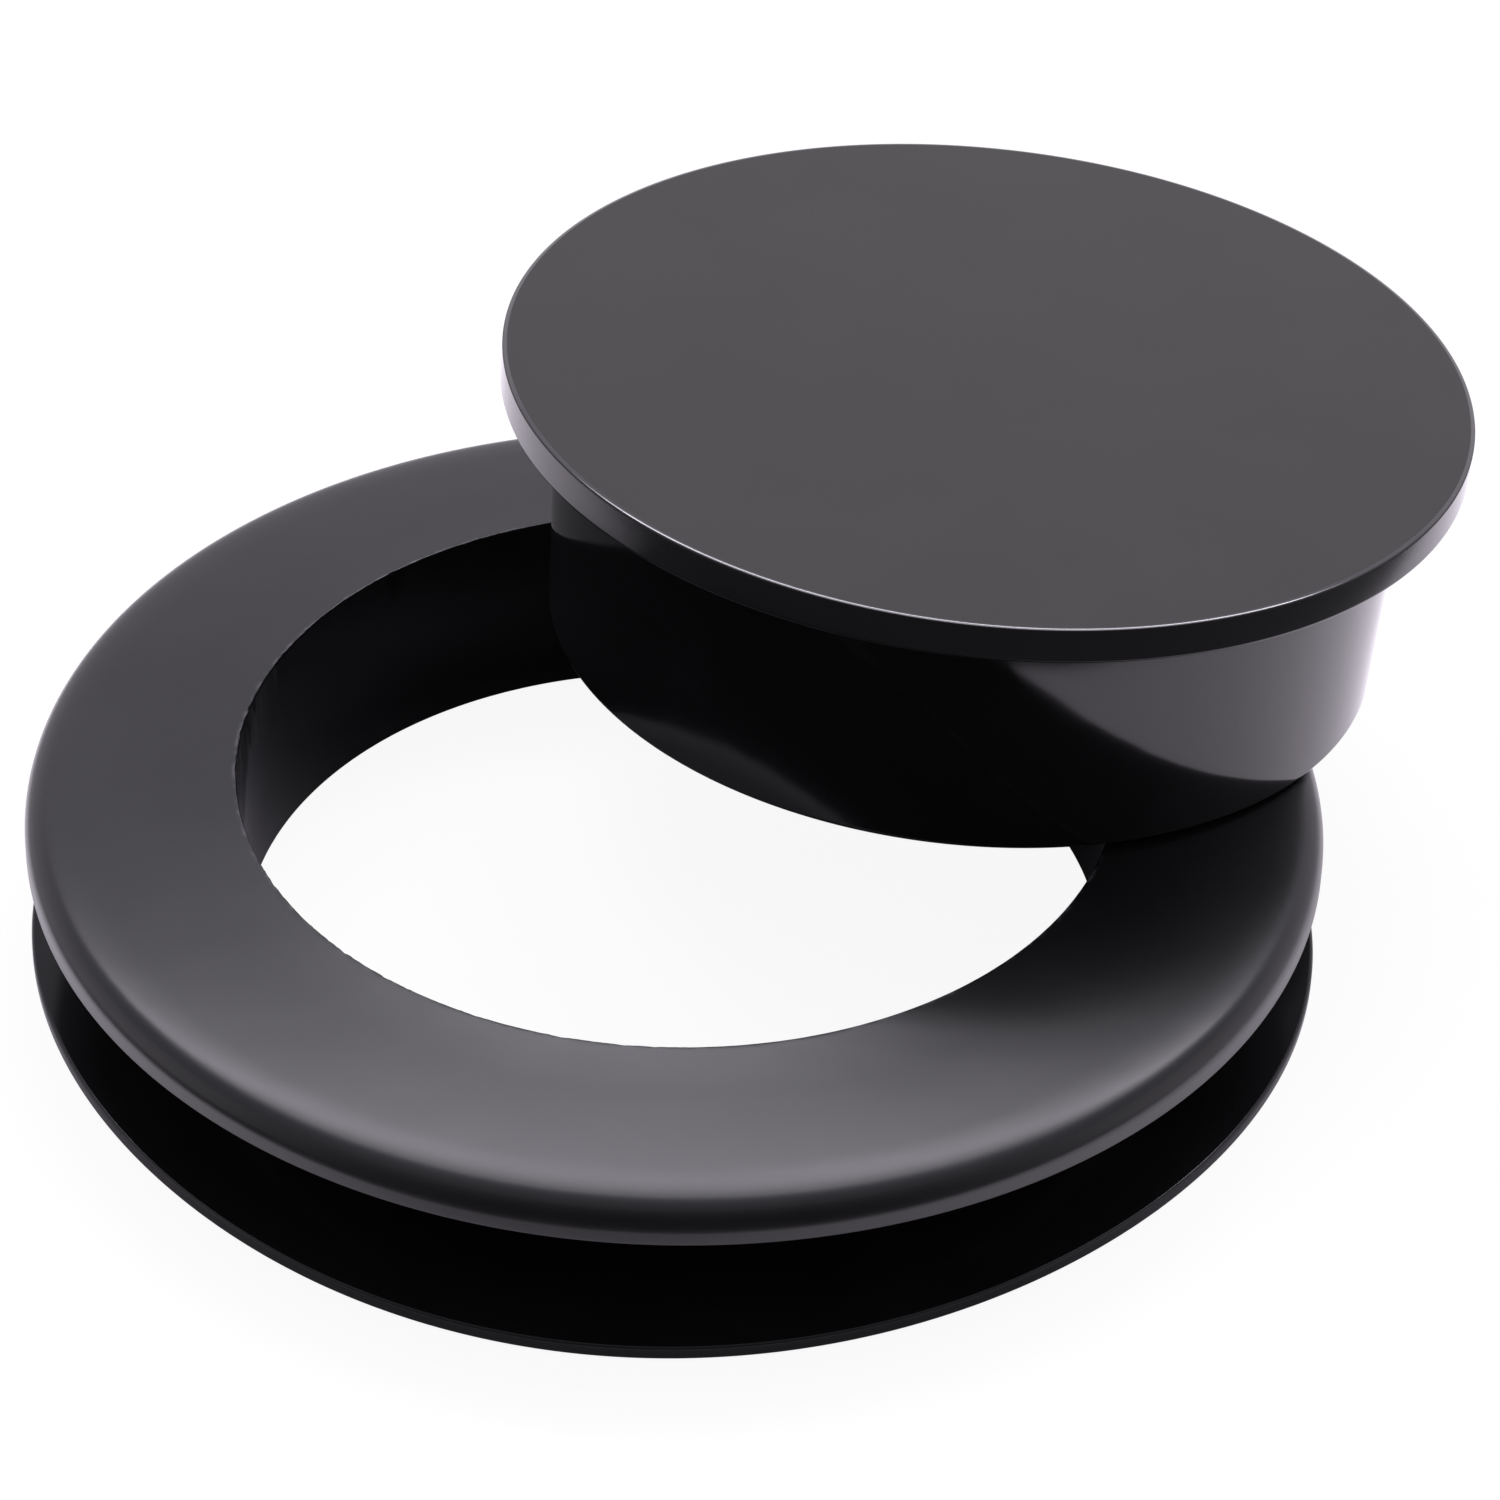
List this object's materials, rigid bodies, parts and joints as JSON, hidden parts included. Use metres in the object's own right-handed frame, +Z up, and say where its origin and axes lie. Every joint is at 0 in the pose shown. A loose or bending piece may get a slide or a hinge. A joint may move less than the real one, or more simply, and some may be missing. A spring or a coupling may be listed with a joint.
{
  "type": "desk grommet",
  "caption": "Round black grommet for a panel hole: a grooved liner ring with a crowned flange, and a hollow plug cap lifted off and leaning on it.",
  "frame": {"origin": "on the liner ring's axis, in the plane of its base", "axes": "+Z up along the ring's axis from the thin lip to the crowned flange; +X towards the side the resting cap hangs over"},
  "size_m": [0.0782, 0.065, 0.0267],
  "materials": {
    "ring_rubber": "satin",
    "cap_rubber": "satin disc, glossy skirt"
  },
  "bodies": {
    "ring": {"liner_ring": "ring_rubber"},
    "cap": {"plug_cap": "cap_rubber"}
  },
  "joints": [
    {"name": "cap_lift", "type": "slide", "parent": "ring", "child": "cap", "axis": [0, 0, 1], "range_m": [0, 0.06]}
  ]
}
